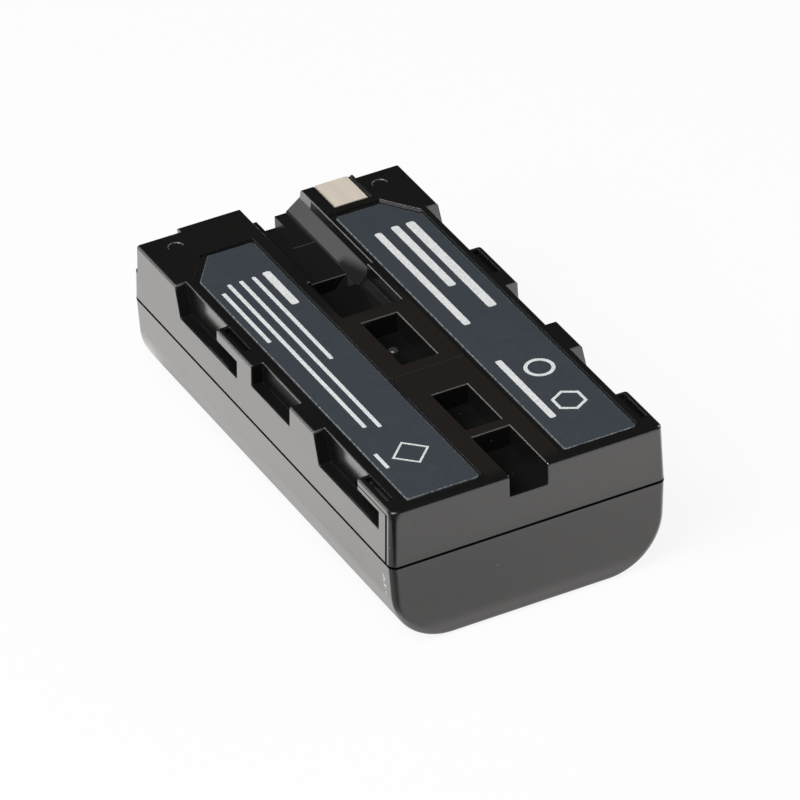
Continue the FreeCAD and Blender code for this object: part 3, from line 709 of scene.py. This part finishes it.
def add_bar(shape, x, start, end, width, z):
    """A flat bar with rounded ends that runs along the film."""
    length = start - end
    corners = bmesh.ops.create_grid(shape, x_segments=1, y_segments=1, size=0.5)["verts"]
    bmesh.ops.scale(shape, vec=(width * MM, length * MM, 1), verts=corners)
    bmesh.ops.translate(shape, vec=(x * MM, (start - length / 2) * MM, z), verts=corners)
    bmesh.ops.bevel(shape, geom=corners, offset=width * BAR_ROUND * MM, affect="VERTICES",
                    segments=3, profile=0.5, material=-1)


def hollow_out(shape, faces, width):
    """Leaves only a flat rim of that width round the faces."""
    bmesh.ops.inset_region(shape, faces=faces, thickness=width, use_boundary=True, use_even_offset=True)
    bmesh.ops.delete(shape, geom=faces, context="FACES")


def add_outline(shape, x, y, radius, width, sides, z):
    """A flat outline with that many sides."""
    place = Matrix.Translation((x * MM, y * MM, z))
    made = bmesh.ops.create_circle(shape, cap_ends=True, segments=sides, radius=radius * MM, matrix=place)
    face = made["verts"][0].link_faces[0]
    hollow_out(shape, [face], width * MM)


def thicken(shape, height):
    """Raises a flat shape into a closed plate."""
    made = bmesh.ops.extrude_face_region(shape, geom=shape.faces[:])
    lifted = [item for item in made["geom"] if isinstance(item, bmesh.types.BMVert)]
    bmesh.ops.translate(shape, vec=(0, 0, height), verts=lifted)
    bmesh.ops.recalc_face_normals(shape, faces=shape.faces)


def print_on_film(name, top, bars, outlines):
    """Plain bars and open shapes on the film: a made-up layout with nothing to read."""
    shape = bmesh.new()
    for x, start, end, width in bars:
        add_bar(shape, x, start, end, width, top)
    for x, y, radius, width, sides in outlines:
        add_outline(shape, x, y, radius, width, sides, top)
    thicken(shape, INK_LIFT)
    piece = keep_piece(shape, name, ink)


def joint_shadow_line():
    """Painted shadow of the welded joint: a thin matt black ring in the groove between the two halves."""
    shape = bmesh.new()
    made = bmesh.ops.create_grid(shape, x_segments=1, y_segments=1, size=0.5)
    width, length = (cad_box[1][i] - cad_box[0][i] + 2 * JOINT_PROUD * MM for i in (0, 1))
    bmesh.ops.scale(shape, vec=(width, length, 1), verts=made["verts"])
    bmesh.ops.bevel(shape, geom=made["verts"], offset=JOINT_CORNER * MM, affect="VERTICES",
                    segments=8, profile=0.5, material=-1)
    inner = shape.faces[:]
    hollow_out(shape, inner, JOINT_DEPTH * MM)
    bmesh.ops.translate(shape, vec=(0, 0, JOINT_FOOT * MM), verts=shape.verts)
    thicken(shape, JOINT_HEIGHT * MM)
    keep_piece(shape, "joint_shadow_line", painted_shadow_line)


def latch_pip():
    """The small shiny stud on the floor of the latch pocket."""
    shape = bmesh.new()
    bmesh.ops.create_uvsphere(shape, u_segments=24, v_segments=12, radius=PIP_RADIUS * MM)
    bmesh.ops.scale(shape, vec=(1, 1, PIP_SQUASH), verts=shape.verts)
    bmesh.ops.translate(shape, vec=PIP_PLACE * MM, verts=shape.verts)
    for face in shape.faces:
        face.smooth = True
    keep_piece(shape, "latch_pip", pip_gloss)


def mould_shadow_lines():
    """Painted shadow of the fine mould line along the near left tab that turns down beside the corner."""
    shape = bmesh.new()
    for size, place in MOULD_SHADOW_LINES:
        made = bmesh.ops.create_cube(shape, size=1.0)
        bmesh.ops.scale(shape, vec=Vector(size) * MM, verts=made["verts"])
        bmesh.ops.rotate(shape, matrix=Matrix.Rotation(SIDE_DRAFT, 3, "Y"), verts=made["verts"])
        bmesh.ops.translate(shape, vec=Vector(place) * MM, verts=made["verts"])
    keep_piece(shape, "mould_shadow_lines", painted_shadow_line)


latch_pip()
mould_shadow_lines()
joint_shadow_line()
left_top = film_with_soft_rim("label_left_film", "label_left")
print_on_film("label_left_print", left_top, LEFT_BARS, LEFT_OUTLINES)
right_top = film_with_soft_rim("label_right_film", "label_right")
print_on_film("label_right_print", right_top, RIGHT_BARS, RIGHT_OUTLINES)


# Floor, light and camera

def reflected_shade(tree):
    """How much weaker reflections of the floor are: in front, beside, under, by a corner and far off."""
    across, along = axes(tree)[:2]
    front = fade(tree, along, FRONT_FADE, 1, 0)
    depth = plus(tree, fade(tree, along, FRONT_STEP, *FRONT_SHADES),
                 fade(tree, across, FRONT_SLANT, *FRONT_SLANT_SHADES))
    corner = both(tree, front, fade(tree, across, CORNER_SPREAD, 1, 0))
    ahead = plus(tree, both(tree, front, depth), times(tree, corner, CORNER_SHADE))
    strip = both(tree, fade(tree, across, SIDE_STRIP, 0, SIDE_STRIP_SHADE),
                 fade(tree, along, SIDE_STRIP_END, 1, 0))
    under = both(tree, fade(tree, absolute(tree, across), UNDER_ACROSS, UNDER_SHADE, 0),
                 fade(tree, absolute(tree, along), UNDER_ALONG, 1, 0))
    beside = times(tree, plus(tree, across, WEDGE_EDGE * MM), WEDGE_SLOPE)
    beyond = math_of(tree, "SUBTRACT", beside, plus(tree, along, WEDGE_NEAR_END * MM))
    wedge = both(tree, fade(tree, beyond, WEDGE_FADE, 0, WEDGE_SHADE),
                 fade(tree, across, WEDGE_SIDE, 1, 0))
    reach = vector_math(tree, "LENGTH", part_coordinates(tree))
    far_off = fade(tree, reach, FAR_FADE, 0, FAR_SHADE)
    return either(tree, ahead, strip, under, wedge, far_off)


def white_floor():
    """A pale sheet that shows white to the camera and in reflections, and keeps a soft shadow."""
    material, tree, shader = new_finish("floor_paper")
    shader.inputs["Roughness"].default_value = SHEET_ROUGHNESS
    shader.inputs["Base Color"].default_value = FLOOR_WHITE
    rays = add_node(tree, "ShaderNodeLightPath")
    glossy = rays.outputs["Is Glossy Ray"]
    seen = either(tree, rays.outputs["Is Camera Ray"], glossy, rays.outputs["Is Transmission Ray"])
    strength = rest_of(tree, both(tree, reflected_shade(tree), glossy))
    tint = mix_colours(tree, glossy, (1, 1, 1, 1), REFLECTED_WHITE)
    glow = add_node(tree, "ShaderNodeEmission", {"Color": tint, "Strength": strength})
    blend = add_node(tree, "ShaderNodeMixShader", {"Fac": times(tree, seen, SEEN_SHARE)})
    tree.links.new(shader.outputs[0], blend.inputs[1])
    tree.links.new(glow.outputs[0], blend.inputs[2])
    tree.links.new(blend.outputs[0], tree.nodes["Material Output"].inputs["Surface"])
    return material


sheet = bmesh.new()
bmesh.ops.create_grid(sheet, x_segments=1, y_segments=1, size=SHEET_HALF)
bmesh.ops.translate(sheet, vec=(0, 0, -SHEET_DROP), verts=sheet.verts)
floor_mesh = bpy.data.meshes.new("floor")
sheet.to_mesh(floor_mesh)
sheet.free()
floor_mesh.materials.append(white_floor())
floor = bpy.data.objects.new("floor", floor_mesh)
bpy.context.scene.collection.objects.link(floor)


def soft_lamp(name, place, size, power):
    """A rectangular lamp turned towards the case: place and size in metres, power in watts."""
    lamp = bpy.data.lights.new(name, "AREA")
    lamp.shape = "RECTANGLE"
    lamp.size, lamp.size_y = size
    lamp.energy = power
    holder = bpy.data.objects.new(name, lamp)
    aim = Vector(place) - CAMERA_TARGET
    holder.matrix_world = Matrix.Translation(place) @ aim.to_track_quat("Z", "Y").to_matrix().to_4x4()
    bpy.context.scene.collection.objects.link(holder)


soft_lamp("key_left", (-0.75, -0.2, 0.7), (0.7, 0.7), 7.5)
soft_lamp("overhead", (-0.4, -0.3, 0.95), (0.8, 0.6), 6.4)
soft_lamp("fill_right", (0.85, 0.1, 0.5), (0.5, 0.5), 1.5)
soft_lamp("rim_left_back", (-0.5, 0.8, 0.5), (0.45, 0.45), 0.34)
soft_lamp("rim_low", (-0.66, 0.74, 0.12), (0.3, 0.12), 0.36)
soft_lamp("front_low", (0.39, -0.9, 0.1), (0.5, 0.22), 0.27)

world = bpy.data.worlds.new("studio")
world.use_nodes = True
bpy.context.scene.world = world
air = world.node_tree
room = air.nodes["Background"]
room.inputs["Color"].default_value = (1, 1, 1, 1)
sight = add_node(air, "ShaderNodeLightPath").outputs["Is Camera Ray"]
set_socket(air, room.inputs["Strength"], spread(air, sight, 0, 1, ROOM_LIGHT, ROOM_SEEN))

camera_data = bpy.data.cameras.new("camera")
camera_data.lens = LENS_MM
camera_data.sensor_width = SENSOR_MM
camera_data.shift_x, camera_data.shift_y = FRAME_SHIFT
camera = bpy.data.objects.new("camera", camera_data)
azimuth, elevation = math.radians(CAMERA_AZIMUTH), math.radians(CAMERA_ELEVATION)
back = Vector((
    math.sin(azimuth) * math.cos(elevation),
    -math.cos(azimuth) * math.cos(elevation),
    math.sin(elevation),
))
upright = back.to_track_quat("Z", "Y").to_matrix().to_4x4()
roll = Matrix.Rotation(math.radians(CAMERA_ROLL), 4, "Z")
camera.matrix_world = Matrix.Translation(CAMERA_TARGET + back * CAMERA_DISTANCE) @ upright @ roll
bpy.context.scene.collection.objects.link(camera)
bpy.context.scene.camera = camera
bpy.context.scene.view_settings.view_transform = "Standard"
